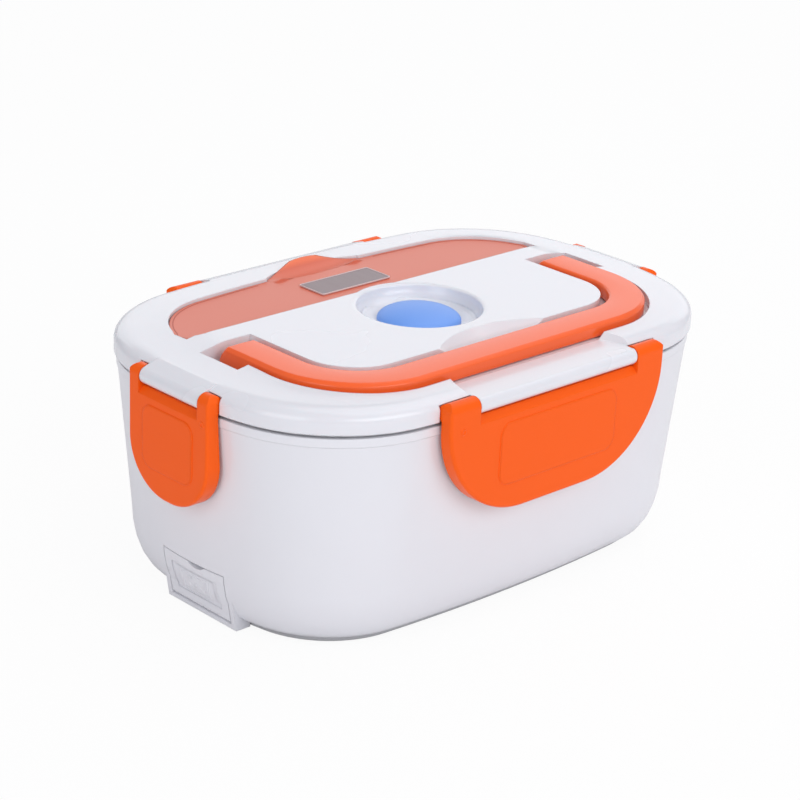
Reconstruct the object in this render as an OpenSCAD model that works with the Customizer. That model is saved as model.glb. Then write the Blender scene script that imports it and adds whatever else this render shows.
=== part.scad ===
// Electric lunch box: a heated base with a steel tray, and a lift-off lid with four latches.
// Origin at the centre of the footprint, on the surface the box stands on. X is the long way,
// -Y the front with the wide latch and the handle grip, -X the end with the power inlet.

/* [Outline] */
// Half length of the base's rim
rim_x = 116; // [110:1:122]
// Half width of the base's rim
rim_y = 78; // [75:1:82]
// Radius of the outline's corner arcs
corner_r = 55; // [52:1:56]
// Half angle of the slightly bulging long sides
long_a = 4.8; // [4.6:0.1:5.2]
// Half angle of the slightly bulging short sides
short_a = 10.9; // [10:0.1:12]

/* [Base] */
// Height of the base's rim above the table
rim_z = 90; // [88:1:94]
// Wall thickness of the plastic shells
wall = 2.3; // [2:0.1:2.6]
// Inset of the wall where the bottom rounding starts
draft_inset = 5.8; // [4:0.2:7]
// Height where the bottom rounding starts
round_z = 27; // [22:1:30]
// Inset of the foot band
foot_inset = 17; // [15:0.5:19]
// Underside of the base cover, above the table
cover_z = 0.8; // [0.6:0.1:1]
// Height of the foot band
band_h = 2.6; // [2:0.2:3]

/* [Lid] */
// Underside of the lid's skirt
skirt_z = 91.3; // [91.2:0.1:91.5]
// Top of the raised middle of the lid
plateau_z = 103.2; // [102.6:0.2:104]
// How far the skirt overhangs the base
overhang = 1; // [0.6:0.2:1.4]

/* [Latches] */
// Half width of the front and rear latches
wide_latch_w = 57; // [50:1:58]
// Half width of the end latches
end_latch_w = 23; // [20:1:25]
// Radius of the wide latches' lower corners
wide_latch_r = 40; // [30:1:42]
// Radius of the end latches' lower corners
end_latch_r = 21.5; // [15:0.5:22]
// Lowest point of the latches
latch_bottom_z = 50; // [48:1:56]
// How far the latch faces stand out from the base's rim
latch_out = 4.4; // [4.2:0.1:4.8]

/* [Handle] */
// Half distance over the handle's arms
handle_x = 91; // [90:0.5:91]
// Front edge of the grip
grip_y = -62.9; // [-63:0.1:-62]
// Width of the arms and the grip
handle_w = 14.5; // [12:0.5:15]
// Top face of the folded handle
handle_z = 103.7; // [103.4:0.1:104]

/* [Spoon compartment] */
// Straight front edge of the compartment's cover
spoon_front_y = 20.9; // [20.5:0.1:22]
// Inset of the cover's curved rear edge from the base's rim
spoon_inset = 20; // [18:0.5:21]
// Top face of the cover
spoon_top_z = 100.4; // [100:0.2:100.8]

/* [Steam vent] */
// Radius of the funnel's rim
vent_r = 27; // [25:0.5:27]
// Centre of the funnel, measured along Y
vent_y = -5; // [-6:0.5:-4]
// Radius of the plug's dome
dome_r = 16.6; // [15:0.2:17]

/* [Hidden] */
white = [0.93, 0.93, 0.95];
orange = [1, 0.40, 0.14];
salmon = [0.93, 0.55, 0.47];
steel = [0.75, 0.76, 0.77];
copper = [0.72, 0.45, 0.2];
dark = [0.2, 0.2, 0.22];

// The outline is eight tangent arcs: the long and the short sides bulge slightly.
// Their radii follow from the tangent joints: u and v are the side radii less the corner radius.
det = sin(long_a) * sin(short_a) - (1 - cos(long_a)) * (1 - cos(short_a));
u = ((rim_x - corner_r) * sin(short_a) - (rim_y - corner_r) * (1 - cos(short_a))) / det;
v = ((rim_y - corner_r) * sin(long_a) - (rim_x - corner_r) * (1 - cos(long_a))) / det;
long_r = corner_r + u;
short_r = corner_r + v;
corner_x = u * sin(long_a);
corner_y = v * sin(short_a);

// Vertical stack of the seam
flange_z = rim_z + 0.1;
flange_t = 0.8;
seal_z = flange_z + flange_t + 0.05;
liner_top_z = 93.6;
liner_floor_z = 87.5;
shoulder_z = 95.5;
cheek_top_z = 100.2;

// Base interior
foot_top_z = cover_z + band_h;
cover_t = 2;
well_floor_z = 31;
well_floor_t = 2;
well_wall = 2;
well_post_x = 60;
well_post_y = 44;
clamp_post_x = 64;
heater_top_z = 32;
heater_x = 52;
heater_y = 31;
tray_floor_z = 32.2;
tray_t = 0.8;

// Latch hinges: the pins lie just inside the latch faces
pin_r = 1.5;
pin_gap = 0.05;
pin_len = 5;
hinge_in = 3.6;
hinge_z = 94.9;
hinge_off = latch_out - hinge_in;
ear_r = hinge_in;
latch_plate = 2.3;
edge_r = 1.2;
panel_low_z = 61;
panel_top_z = 85.5;
panel_rise = 0.35;
panel_wide = 30.8;
panel_end = 14.3;
ear_corner = 4;
ledge_z = hinge_z - 3.95;
bar_wide = 41.8;
bar_end = 16.8;
catch_z = 66.5;

// Handle hubs
hub_y = -1;
hub_z = 97.8;
hub_r = 7.2;
hub_pin_r = 2.5;
handle_bottom_z = 98.2;
outer_bend = 39;
channel_gap = 2;
plateau_gap = 2.8;
grip_gap = 3.3;
channel_z = 97.4;
hub_pocket_z = 90.2;
finger_y = -84;

// Spoon cover
spoon_t = 1.8;
spoon_front_r = 9;
spoon_hinge_y = spoon_front_y + 2.7;
spoon_hinge_z = spoon_top_z - spoon_t / 2;
spoon_floor_z = 90.8;
tab_r = 45.2;
tab_y = 20.3;
tab_z = 96.4;
tab_top_z = 103.7;
tab_half = 24;

// Inlet block: its outer face leans with the wall
block_y = -1.6;
block_w = 20.2;
block_x = 104.3;
block_top_z = 24.6;
block_lean = 10.3;
door_w = 17.4;
door_low = 3.6;
door_top = 23.2;
door_t = 2;
door_gap = 0.3;
door_pin_x = 1.3;
socket_z = 12.6;
socket_face_x = -102.2;

// ---- Shared shapes ----

// Moves by whole millimetres, then tenths of microns, then the rest, so that arcs meet without a gap
module place(x, y = 0) {
    whole = [round(x), round(y), 0];
    fine = [round((x - whole[0]) * 10000), round((y - whole[1]) * 10000), 0] / 10000;
    translate(whole) translate(fine) translate([x, y, 0] - whole - fine) children();
}

// One arc's worth of a wall: profile points are [inset, height]
module arc_wall(profile, r, from, to, fn) {
    rotate_extrude(angle = to - from, start = from, $fn = fn)
        place(r) polygon([for (p = profile) [-p[0], p[1]]]);
}

// A wall profile carried all round the outline
module round_wall(profile) {
    for (s = [0, 180]) rotate([0, 0, s]) {
        place(0, rim_y - long_r) arc_wall(profile, long_r, 90 - long_a, 90 + long_a, 300);
        place(rim_x - short_r) arc_wall(profile, short_r, -short_a, short_a, 160);
        place(corner_x, corner_y) arc_wall(profile, corner_r, short_a, 90 - long_a, 84);
        place(corner_x, -corner_y) arc_wall(profile, corner_r, long_a - 90, -short_a, 84);
    }
}

// Points of an arc, both ends included
function arc_points(c, r, from, to, n) = [for (i = [0:n])
    let (a = from + (to - from) * i / n) [c[0] + r * cos(a), c[1] + r * sin(a)]];

// Points in the middle of each of an arc's n steps, so that none falls on a joint
function step_points(c, r, from, to, n) = [for (i = [0:n - 1])
    let (a = from + (to - from) * (i + 0.5) / n) [c[0] + r * cos(a), c[1] + r * sin(a)]];

// The outline of the first quadrant, inset by s
function quarter(s, n) = concat(
    step_points([rim_x - short_r, 0], short_r - s, 0, short_a, 3),
    step_points([corner_x, corner_y], corner_r - s, short_a, 90 - long_a, n),
    step_points([0, rim_y - long_r], long_r - s, 90 - long_a, 90, 3));

// The whole outline, inset by s
function outline(s, n = 10) = let (q = quarter(s, n), m = len(q) - 1) concat(
    q, [for (i = [m:-1:0]) [-q[i][0], q[i][1]]],
    [for (i = [0:m]) [-q[i][0], -q[i][1]]], [for (i = [m:-1:0]) [q[i][0], -q[i][1]]]);

// A flat plate that fills the outline at inset s
module plate(s, z0, z1) {
    translate([0, 0, z0]) linear_extrude(z1 - z0) polygon(outline(s));
}

// Quarter-ellipse profile points from a wall at [s0, z0] to a floor at [s1, z1]
function round_points(s0, z0, s1, z1, n) = [for (i = [0:n])
    [s1 - (s1 - s0) * cos(90 * i / n), z0 + (z1 - z0) * sin(90 * i / n)]];

// A box centred on X and Y, from z0 to z1
module block(x, y, z0, z1) {
    translate([-x, -y, z0]) cube([2 * x, 2 * y, z1 - z0]);
}

// Rounded rectangle prism with half sizes x and y
module pad(x, y, r, z0, z1) {
    translate([0, 0, z0]) linear_extrude(z1 - z0) {
        square([2 * x, 2 * (y - r)], center = true);
        square([2 * (x - r), 2 * y], center = true);
        for (i = [-1, 1], j = [-1, 1]) translate([i * (x - r), j * (y - r)]) circle(r, $fn = 48);
    }
}

// Copies at the four signs of x and y
module four(x, y) {
    for (i = [-1, 1], j = [-1, 1]) translate([i * x, j * y, 0]) children();
}

// Cylinder along X, centred at x = 0
module x_rod(r, len, fn = 40) {
    rotate([0, 90, 0]) cylinder(r = r, h = len, center = true, $fn = fn);
}

// ---- Base ----

function body_inset(z) = z > rim_z - 3.8 ? 0
    : 0.4 + (draft_inset - 0.4) * (rim_z - 3.8 - z) / (rim_z - 3.8 - round_z);

// Outside of the base's wall from the rim step down, as [inset, height]
wall_outside = concat([[0.4, rim_z - 4.2], [draft_inset, round_z]],
    [for (i = [1:6]) round_points(draft_inset, round_z, foot_inset, foot_top_z, 6)[i]]);

// The inlet block's own leaning frame: x runs inward, z up the face
module lean() {
    translate([-block_x, block_y, cover_z]) rotate([0, -block_lean, 0]) children();
}

// Stands out of the rounding and stops at the bottom cover's edge
module inlet_block() {
    difference() {
        intersection() {
            lean() translate([0, -block_w, -2]) cube([24, 2 * block_w, 27]);
            translate([-125, block_y - block_w, cover_z]) cube([32, 2 * block_w, block_top_z - cover_z]);
        }
        plate(foot_inset - 0.25, cover_z - 1, foot_top_z);
    }
}

// What the door's outer face follows: the block below, and the end wall above
module inlet_front() {
    inlet_block();
    rotate([0, 0, 180]) place(rim_x - short_r)
        arc_wall(concat(wall_outside, [[34, foot_top_z], [34, rim_z - 4.2]]), short_r, -short_a, short_a, 160);
}

// The catch ridge below each latch: a bead with sloping faces
module catch_ridge(width, face) {
    root = face - body_inset(catch_z) - 0.6;
    tip = face - body_inset(catch_z) + 1.5;
    rotate([90, 0, 90]) linear_extrude(2 * width, center = true)
        polygon([[root, catch_z - 2.2], [tip, catch_z - 0.4], [tip, catch_z + 0.6], [root, catch_z + 2]]);
}

module outer_body() {
    outer = concat([[0, rim_z - 0.5], [0, rim_z - 3.8]], wall_outside);
    inner = concat([for (i = [6:-1:1]) round_points(draft_inset + wall, round_z,
            foot_inset + 3, foot_top_z + wall, 6)[i]],
        [[draft_inset + wall, round_z], [2.9, rim_z - 6], [4.1, rim_z - 3.6], [4.1, rim_z - 2],
         [wall, rim_z - 2], [wall, rim_z - 0.5]]);
    foot = [[foot_inset + 3, foot_top_z]];
    color(white) difference() {
        union() {
            round_wall(concat(outer, foot, inner));
            for (s = [0, 180]) {
                rotate([0, 0, s + 180]) catch_ridge(24, rim_y);
                rotate([0, 0, s + 90]) catch_ridge(10, rim_x);
            }
            difference() {
                inlet_block();
                // Hollow behind the door's wall
                translate([-100, block_y - 16.5, foot_top_z]) cube([12, 33, 18.5]);
            }
        }
        // Recess for the door, and the window to the socket
        lean() translate([-5, -door_w - door_gap, door_low - 1.6])
            cube([5 + door_t + 0.8, 2 * (door_w + door_gap), door_top + door_gap - door_low + 1.6]);
        translate([-110, block_y - 14, socket_z - 7.7]) cube([22, 28, 15.4]);
        // Bores for the door's hinge pins
        lean() translate([door_pin_x, 0, door_low]) rotate([90, 0, 0])
            cylinder(r = 1.05, h = 2 * door_w + 3.4, center = true, $fn = 32);
    }
}

module inner_well() {
    top_in = 6.2;
    low_in = 11.4;
    color(white) difference() {
        union() {
            round_wall(concat(
                [[2.5, rim_z], [2.5, rim_z - 1.9], [top_in - well_wall, rim_z - 1.9], [low_in - well_wall, 42]],
                [for (i = [1:5]) round_points(low_in - well_wall, 42, 22, well_floor_z - well_floor_t, 5)[i]],
                [[26, well_floor_z - well_floor_t], [26, well_floor_z]],
                [for (i = [5:-1:1]) round_points(low_in, 42, 22, well_floor_z, 5)[i]],
                [[low_in, 42], [top_in, rim_z]]));
            plate(25, well_floor_z - well_floor_t, well_floor_z);
            // Posts for the base screws and for the heater's clamp
            four(well_post_x, well_post_y) translate([0, 0, cover_z + cover_t])
                cylinder(r = 4, h = well_floor_z - cover_z - cover_t - 1, $fn = 40);
            for (i = [-1, 1]) translate([i * clamp_post_x, 0, 20])
                cylinder(r = 4.5, h = well_floor_z - 21, $fn = 40);
        }
        pad(heater_x + 0.4, heater_y + 0.4, 12.4, 20, 40);
        four(well_post_x, well_post_y) cylinder(r = 1.55, h = 18, $fn = 32);
        for (i = [-1, 1]) translate([i * clamp_post_x, 0, 19]) cylinder(r = 1.55, h = 9, $fn = 32);
    }
}

module bottom_cover() {
    color([0.72, 0.72, 0.75]) difference() {
        union() {
            round_wall([[foot_inset, foot_top_z - 0.1], [foot_inset + 0.3, cover_z + 0.6],
                [foot_inset + 1, cover_z], [foot_inset + 4, cover_z], [foot_inset + 4, foot_top_z - 0.1]]);
            plate(foot_inset + 3, cover_z, foot_top_z - 0.1);
            // Locating rib inside the wall
            difference() {
                plate(foot_inset + 3.4, foot_top_z - 0.2, foot_top_z + 2.4);
                plate(foot_inset + 5, foot_top_z - 1, foot_top_z + 3);
                translate([-120, block_y - 21.5, 0]) cube([40, 43, 20]);
            }
        }
        // Space above for the inside, and the holes for screws and feet
        plate(foot_inset + 5, cover_z + cover_t, foot_top_z + 3);
        four(well_post_x, well_post_y) {
            cylinder(r = 1.7, h = 10, $fn = 32);
            translate([0, 0, cover_z - 1]) cylinder(r = 3.4, h = 1 + 1.2, $fn = 40);
        }
        four(80, 30) translate([0, 0, cover_z - 1]) cylinder(r = 6.1, h = 1.8, $fn = 40);
        // Cooling slots across the middle
        for (i = [-3:3]) translate([i * 8 - 1, -14, -1]) cube([2, 28, 10]);
    }
}

module base_screws() {
    color(steel) four(well_post_x, well_post_y) translate([0, 0, cover_z]) difference() {
        union() {
            translate([0, 0, 0.1]) cylinder(r = 3, h = 1.1, $fn = 40);
            cylinder(r = 1.5, h = 14, $fn = 32);
        }
        translate([0, 0, -0.5]) cube([3.6, 0.8, 2], center = true);
        translate([0, 0, -0.5]) cube([0.8, 3.6, 2], center = true);
    }
}

module rubber_feet() {
    color(dark) four(80, 30) cylinder(r = 6, h = cover_z + 0.8, $fn = 48);
}

// ---- Heater and wiring, in the space under the well ----

module heater_plate() {
    color(steel) {
        pad(heater_x, heater_y, 12, 27, heater_top_z);
        pad(heater_x + 4, heater_y + 4, 14, 26, 28);
    }
}

module heater_gasket() {
    color([0.85, 0.3, 0.2]) difference() {
        pad(heater_x + 3.6, heater_y + 3.6, 13.6, 28, 29);
        pad(heater_x + 0.4, heater_y + 0.4, 12.4, 27, 30);
    }
}

module ptc_heater() {
    color([0.86, 0.8, 0.6]) {
        translate([-30, -11, 20]) cube([60, 22, 6]);
        for (j = [-1, 1]) translate([-38, j * 6 - 2, 22.6]) cube([10, 4, 0.8]);
    }
}

module heater_clamp() {
    color(steel) difference() {
        translate([-70, -7, 18.5]) cube([140, 14, 1.5]);
        for (i = [-1, 1]) translate([i * clamp_post_x, 0, 10]) cylinder(r = 1.7, h = 12, $fn = 32);
    }
}

module clamp_screws() {
    color(steel) for (i = [-1, 1]) translate([i * clamp_post_x, 0, 16.6]) {
        cylinder(r = 3, h = 1.9, $fn = 40);
        cylinder(r = 1.5, h = 9.6, $fn = 32);
    }
}

module thermostat() {
    color(dark) translate([-36, 21, 0]) {
        translate([0, 0, 18]) cylinder(r = 8, h = 8, $fn = 48);
        translate([0, 0, 14]) cylinder(r = 4, h = 4, $fn = 40);
    }
    color(steel) translate([-36, 21, 0]) for (i = [-1, 1]) translate([i * 6.4 - 0.4, -2, 13]) cube([0.8, 4, 6]);
}

module thermal_fuse() {
    color([0.9, 0.9, 0.85]) translate([34, 21, 23.6]) {
        x_rod(2.4, 14);
        x_rod(0.6, 30, 24);
    }
}

module inlet_socket() {
    mouth_x = 8.2;
    mouth_z = 4.1;
    color(dark) translate([0, block_y, 0]) difference() {
        union() {
            translate([socket_face_x, -13.7, socket_z - 7.5]) cube([16, 27.4, 15]);
            // Flange that bears on the inside of the block
            translate([-88, -16.4, socket_z - 8.4]) cube([2, 32.8, 16.8]);
        }
        translate([socket_face_x - 1, 0, socket_z]) rotate([90, 0, 90]) linear_extrude(12) {
            square([2 * (mouth_x - mouth_z), 2 * mouth_z], center = true);
            for (i = [-1, 1]) translate([i * (mouth_x - mouth_z), 0]) circle(mouth_z, $fn = 48);
        }
        for (i = [-1, 1]) translate([-90, i * 4.3, socket_z]) x_rod(1.2, 12, 40);
    }
}

module inlet_pins() {
    color(copper) for (i = [-1, 1]) translate([0, block_y + i * 4.3, socket_z]) {
        translate([-91.7, 0, 0]) x_rod(1.2, 18.6, 40);
        translate([-83.4, 0, 0]) cube([4, 3, 0.8], center = true);
    }
}

// A wire laid along points
module wire(points) {
    for (i = [0:len(points) - 2]) hull() {
        translate(points[i]) sphere(0.9, $fn = 10);
        translate(points[i + 1]) sphere(0.9, $fn = 10);
    }
}

// The inlet's two leads: one through the thermostat and the fuse to the heater, one straight to it
module wires() {
    pin_end = -80.45;
    color([0.8, 0.2, 0.15]) {
        wire([[pin_end, block_y + 4.3, socket_z], [-72, 10, 9], [-56, 19, 8], [-42.4, 21, 12.05]]);
        wire([[-29.6, 21, 12.05], [-20, 21, 10], [8, 21, 15], [18.05, 21, 23.6]]);
        wire([[49.95, 21, 23.6], [54, 14, 15], [50, 10, 12], [-30, 12, 13], [-44, 9, 22.9], [-38.95, 6, 23]]);
    }
    color([0.2, 0.3, 0.7])
        wire([[pin_end, block_y - 4.3, socket_z], [-74, -11, 9], [-50, -14, 11], [-44, -9, 22.9], [-38.95, -6, 23]]);
}

// ---- Inlet door, on two pins at its lower edge ----

module inlet_door() {
    color(white) difference() {
        union() {
            intersection() {
                lean() translate([-5, -door_w, door_low]) cube([5 + door_t, 2 * door_w, door_top - door_low]);
                inlet_front();
            }
            lean() translate([door_pin_x, 0, door_low]) rotate([90, 0, 0]) {
                cylinder(r = door_pin_x, h = 2 * door_w, center = true, $fn = 32);
                cylinder(r = 1, h = 2 * door_w + 2.8, center = true, $fn = 32);
            }
        }
        // Sunk panel that follows the outer face
        difference() {
            lean() translate([-5, -13, door_low + 3.2]) cube([5 + door_t / 2, 26, 12.4]);
            translate([0.5, 0, 0]) inlet_front();
        }
        // Shallow notch for a fingernail in the upper edge
        lean() translate([-5, -2.4, door_top + 6.3]) rotate([0, 90, 0]) cylinder(r = 7.9, h = 8, $fn = 64);
    }
}

// ---- Food containers ----

module steel_tray() {
    top_in = 8;
    low_in = 13.2;
    bend = 45;
    flange_top = flange_z + flange_t;
    color(steel) {
        round_wall(concat(
            [[0.6, flange_top], [0.6, flange_z], [top_in - 0.6, flange_z], [top_in, flange_z - 0.8], [low_in, bend]],
            [for (i = [1:6]) round_points(low_in, bend, 25, tray_floor_z, 6)[i]],
            [[30, tray_floor_z], [30, tray_floor_z + tray_t]],
            [for (i = [6:-1:1]) round_points(low_in + tray_t, bend, 25, tray_floor_z + tray_t, 6)[i]],
            [[low_in + tray_t, bend], [top_in + tray_t, flange_z - 0.4], [top_in + 0.4, flange_top]]));
        plate(29, tray_floor_z, tray_floor_z + tray_t);
    }
}

// A wall profile, [inset, height], carried round a rectangle with rounded corners
module tub_wall(profile, x, y, r) {
    for (i = [0, 1], j = [0, 1]) mirror([i, 0, 0]) mirror([0, j, 0]) translate([x - r, y - r])
        rotate_extrude(angle = 90, $fn = 72) polygon([for (p = profile) [r - p[0], p[1]]]);
    for (s = [0, 180]) rotate([0, 0, s]) {
        translate([0, y, 0]) rotate([90, 0, 90]) linear_extrude(2 * (x - r), center = true)
            polygon([for (p = profile) [-p[0], p[1]]]);
        translate([x, 0, 0]) rotate([90, 0, 0]) linear_extrude(2 * (y - r), center = true)
            polygon([for (p = profile) [-p[0], p[1]]]);
    }
}

module side_box() {
    low = tray_floor_z + tray_t + 0.2;
    t = 1.5;
    top = 80;
    bend_z = 44;
    color([0.95, 0.95, 0.93]) translate([65, 0, 0]) {
        // Wall with a rolled rim on top and a round bottom edge
        tub_wall(concat([[0, top], [0, top - t], [2, top - t], [3, bend_z]],
            [for (i = [1:4]) round_points(3, bend_z, 11, low, 4)[i]], [[12, low], [12, low + t]],
            [for (i = [4:-1:1]) round_points(3 + t, bend_z, 11, low + t, 4)[i]],
            [[3 + t, bend_z], [2 + t, top - t], [2 + t, top]]), 26, 45, 19);
        pad(15, 34, 8, low, low + t);
    }
}

// ---- Lid ----

// The lid's top, from the skirt over the shoulder and the cheek to the plateau
lid_top = concat([[-overhang, skirt_z], [-overhang, shoulder_z]],
    [for (i = [1:6]) [6.5 - (6.5 + overhang) * cos(90 * i / 6), shoulder_z + (cheek_top_z - shoulder_z) * sin(90 * i / 6)]],
    [[13.5, 100.7], [20, 101.6], [26, 102.7], [30, plateau_z]]);

// Section of a hinge bar, seen along it: y is measured out from the base's rim
module bar_section() {
    translate([hinge_off, hinge_z]) circle(3.4, $fn = 48);
    polygon([[-6, 93.8], [-6, cheek_top_z - 0.2], [-4, cheek_top_z - 0.1], [hinge_off + 1.4, hinge_z + 3.1],
        [hinge_off, hinge_z - 3.3], [hinge_off - 1, skirt_z], [-1.3, skirt_z], [-1.3, 93.8]]);
}

module hinge_bar(half, face) {
    translate([0, face, 0]) rotate([90, 0, 90]) linear_extrude(2 * half, center = true) bar_section();
}

// Room for the ears at the ends of a bar, and the bores for their pins
module ear_room(half, latch_w, face) {
    for (i = [-1, 1]) {
        centre = i * (half + latch_w + 0.5) / 2;
        translate([centre, face + hinge_off, hinge_z]) x_rod(ear_r + 0.4, latch_w + 0.5 - half, 48);
        translate([centre - (latch_w + 0.5 - half) / 2, face + hinge_off - ear_r - 0.4, skirt_z - 2])
            cube([latch_w + 0.5 - half, 12, hinge_z - skirt_z + 2]);
    }
    translate([0, face + hinge_off, hinge_z]) {
        translate([-half, 0, 0]) x_rod(pin_r + pin_gap, 2 * pin_len + 1, 32);
        translate([half, 0, 0]) x_rod(pin_r + pin_gap, 2 * pin_len + 1, 32);
    }
}

// Plan of a U that runs along the arms and the grip, grown by g
module u_plan(x, y, r) {
    translate([-x, y + r]) square([2 * x, 60]);
    translate([-x + r, y]) square([2 * (x - r), 60]);
    for (i = [-1, 1]) translate([i * (x - r), y + r]) circle(r, $fn = 96);
}

module handle_channel() {
    inner_x = handle_x - handle_w - plateau_gap;
    inner_y = grip_y + handle_w + grip_gap;
    inner_r = outer_bend - handle_w - plateau_gap;
    difference() {
        translate([0, 0, channel_z]) linear_extrude(12) intersection() {
            u_plan(handle_x + channel_gap, grip_y - channel_gap, outer_bend + channel_gap);
            translate([-120, -90]) square([240, 99.5]);
        }
        translate([0, 0, channel_z - 1]) linear_extrude(14) u_plan(inner_x, inner_y, inner_r);
    }
    // Deeper and wider pockets round the hubs
    for (i = [-1, 1]) translate([i * (inner_x + 98) / 2, 0, 0])
        translate([-(98 - inner_x) / 2, -12.5, hub_pocket_z]) cube([98 - inner_x, 22, 20]);
    // Bores for the hub pins
    for (i = [-1, 1]) translate([i * (inner_x + 0), hub_y, hub_z]) x_rod(hub_pin_r + pin_gap, 7, 40);
    // Finger recess behind the grip
    translate([0, finger_y, channel_z + 0.6]) cylinder(r1 = 42.9, r2 = 49, h = 6.1, $fn = 128);
}

// Plan of the spoon cover, grown by g
function spoon_plan(g) = let (
    r = spoon_front_r + g,
    cx = 84.5,
    cy = spoon_front_y + spoon_front_r,
    q = [for (p = quarter(spoon_inset - g, 12)) if (p[1] > cy + 1) p],
    right = concat(arc_points([cx, cy], r, -90, -2, 8), q)) concat(
    right, [for (i = [len(right) - 1:-1:0]) [-right[i][0], right[i][1]]]);

module spoon_space() {
    // Recess for the cover, the deep compartment below it and the notch for the thumb tab
    translate([0, 0, spoon_top_z - spoon_t - 0.3]) linear_extrude(8) polygon(spoon_plan(0.4));
    translate([0, 0, spoon_floor_z]) linear_extrude(9) intersection() {
        polygon(spoon_plan(-1.6));
        translate([-120, spoon_front_y - 5]) square([240, 60]);
    }
    translate([0, 0, spoon_floor_z]) linear_extrude(9) intersection() {
        polygon(spoon_plan(0.4));
        translate([-100, spoon_front_y - 5]) square([200, 9.6]);
    }
    translate([0, 0, tab_z - 0.5]) linear_extrude(12) intersection() {
        translate([0, tab_y]) circle(tab_r + 0.4, $fn = 128);
        translate([-tab_half - 0.5, 54]) square([2 * tab_half + 1, 30]);
    }
    for (i = [-1, 1]) {
        // Pocket round each front corner, where the cover swings down, and the bore for its pin
        translate([i * 89.1 - 4.7, spoon_hinge_y - 1.3, spoon_top_z - spoon_t - 0.3]) cube([9.4, 6.2, 8]);
        translate([i * 92, spoon_hinge_y, spoon_hinge_z]) x_rod(0.95, 10, 32);
    }
}

module vent_space() {
    translate([0, vent_y, 0]) {
        // Funnel with a rounded lip, then the seat and the shaft
        rotate_extrude($fn = 96) polygon(concat([[0, 120], [vent_r, 120]],
            [for (i = [0:5]) [vent_r - 2.2 * sin(18 * i), plateau_z - 0.9 + 0.9 * cos(18 * i)]],
            [for (i = [1:6]) [24.8 - 7 * (1 - cos(15 * i)), plateau_z - 0.9 - 5.6 * sin(15 * i)]],
            [[6, plateau_z - 6.5], [6, 80], [0, 80]]));
    }
}

module lid_shell() {
    under = 89.4;
    color(white) difference() {
        union() {
            difference() {
                union() {
                    round_wall(concat(lid_top, [[34, plateau_z], [34, under], [12.4, under],
                        [12.4, liner_top_z + 0.1], [2.5, liner_top_z + 0.1], [2.5, skirt_z]]));
                    plate(33, under, plateau_z);
                }
                // Hollow under the plateau, round the vent
                difference() {
                    translate([0, -13, 0]) pad(68, 29, 22, under - 1, under + 11.6);
                    translate([0, vent_y, under - 2]) cylinder(r = 8, h = 16, $fn = 64);
                    translate([0, vent_y, 95.4]) cylinder(r1 = 18.5, r2 = 29, h = 7, $fn = 96);
                    translate([0, finger_y, under - 2]) cylinder(r = 52, h = 16, $fn = 128);
                    for (i = [-1, 1]) translate([i * 68, hub_y, hub_z]) x_rod(5, 8, 40);
                }
            }
            for (s = [0, 180]) {
                rotate([0, 0, s]) hinge_bar(bar_wide, rim_y);
                rotate([0, 0, s + 90]) hinge_bar(bar_end, rim_x);
            }
        }
        for (s = [0, 180]) {
            rotate([0, 0, s]) ear_room(bar_wide, wide_latch_w, rim_y);
            rotate([0, 0, s + 90]) ear_room(bar_end, end_latch_w, rim_x);
        }
        handle_channel();
        difference() {
            spoon_space();
            // Lip of the funnel, which stands in the compartment's front edge
            translate([0, vent_y, 80]) cylinder(r = vent_r + 0.4, h = 30, $fn = 96);
        }
        vent_space();
    }
}

module lid_liner() {
    color(white) difference() {
        union() {
            round_wall([[2.9, liner_top_z], [2.9, 92.2], [3.2, 91.5], [3.7, 91.5], [3.7, 92.2], [7.4, 92.2],
                [7.4, 91.5], [8.2, 91.5], [8.6, 92.2], [10.4, 92.2], [10.9, liner_floor_z + 1.2],
                [12, liner_floor_z], [20, liner_floor_z], [20, liner_floor_z + 1.5], [12.2, liner_floor_z + 1.5],
                [12, liner_top_z]]);
            plate(19, liner_floor_z, liner_floor_z + 1.5);
        }
        translate([0, vent_y, 80]) cylinder(r = 6.2, h = 12, $fn = 64);
    }
}

module lid_seal() {
    color([0.85, 0.87, 0.9]) round_wall([[3.9, seal_z + 0.5], [4.6, seal_z], [6.5, seal_z], [7.2, seal_z + 0.5],
        [7.2, 92.2], [3.9, 92.2]]);
}

// ---- Latches: seen from outside, x across, z up, y out of the base ----

// Plan of a latch's face, inset by t
module latch_plan(w, r, t, top) {
    low = latch_bottom_z + t;
    intersection() {
        translate([-w, low]) square([2 * w, top - low]);
        union() {
            translate([-(w - t), low + r - t]) square([2 * (w - t), top]);
            translate([-(w - r), low]) square([2 * (w - r), top]);
            for (i = [-1, 1]) translate([i * (w - r), low + r - t]) circle(r - t, $fn = 96);
        }
    }
}

// What comes off to round the rim of a latch's face, in the plan's own frame
module latch_edge(w, r, front) {
    low = latch_bottom_z;
    profile = concat([[-0.5, 0.5], [edge_r, 0.5]],
        [for (p = arc_points([edge_r, -edge_r], edge_r, 90, 180, 5)) p], [[-0.5, -edge_r]]);
    for (m = [0, 1]) mirror([m, 0, 0]) {
        translate([w - r, low + r, 0]) rotate_extrude(angle = 90, start = -90, $fn = 96)
            polygon([for (p = profile) [r - p[0], front + p[1]]]);
        rotate([90, 0, 0]) translate([0, 0, -hinge_z - 2 * ear_r]) linear_extrude(hinge_z + 2 * ear_r - low - r)
            polygon([for (p = profile) [w - p[0], front + p[1]]]);
    }
    rotate([90, 0, 90]) linear_extrude(2 * (w - r), center = true)
        polygon([for (p = profile) [low + p[0], front + p[1]]]);
}

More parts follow.
